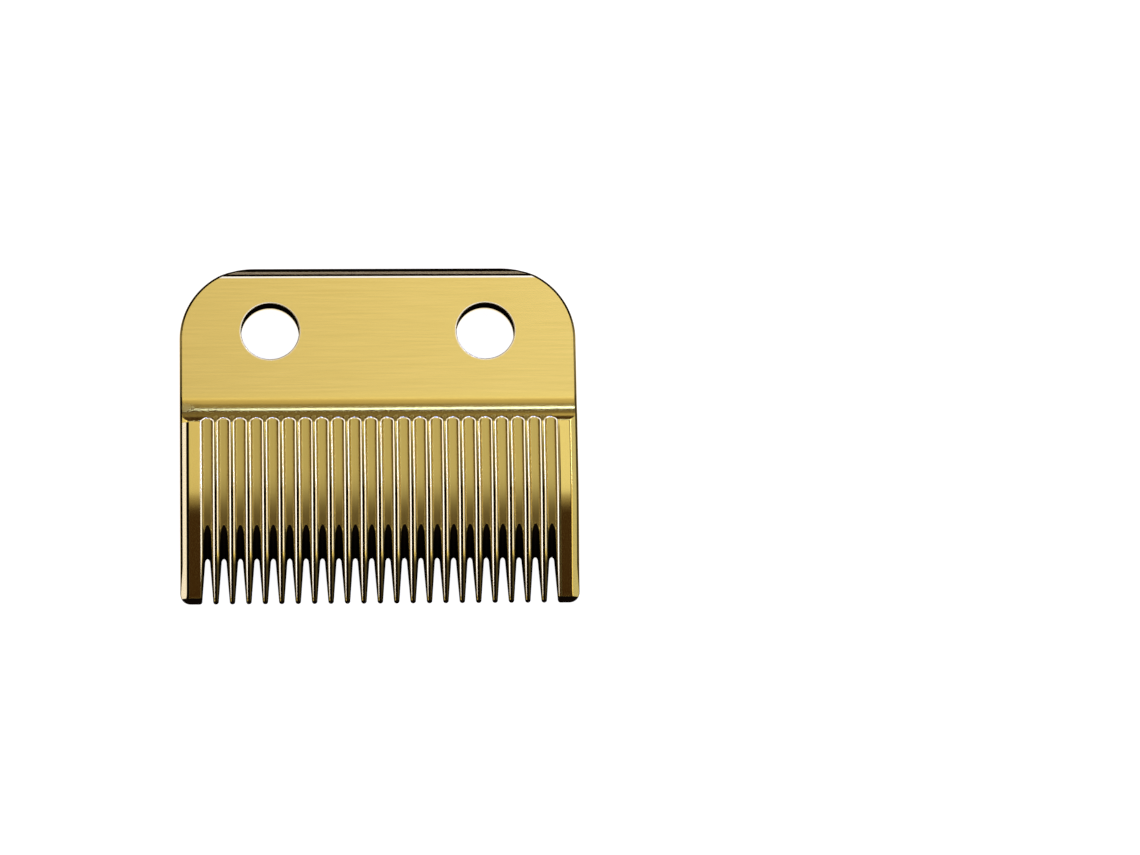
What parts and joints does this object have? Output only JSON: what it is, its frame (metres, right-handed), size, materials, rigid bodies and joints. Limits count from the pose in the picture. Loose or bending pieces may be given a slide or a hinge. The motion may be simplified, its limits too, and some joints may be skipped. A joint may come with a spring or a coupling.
{
  "type": "hair clipper blade",
  "caption": "Fixed lower blade of a hair clipper: flat tang with two screw holes, a ramp up to a grooved sole, and a comb of tapered teeth at its front edge, in gold-coated steel.",
  "frame": {"origin": "midway between the two screw holes, on the flat ground cutting face", "axes": "+Z out of the tang's skin side along the screw holes, +Y from the tooth tips to the rear edge, +X across the blade"},
  "size_m": [0.046, 0.0398, 0.0035],
  "materials": {
    "gold_coated_steel": "ground steel with a thin gold-coloured hard coating, finely brushed across the tang and polished in the grooves"
  },
  "bodies": {
    "root": {"fixed_blade": "gold_coated_steel"}
  },
  "joints": []
}
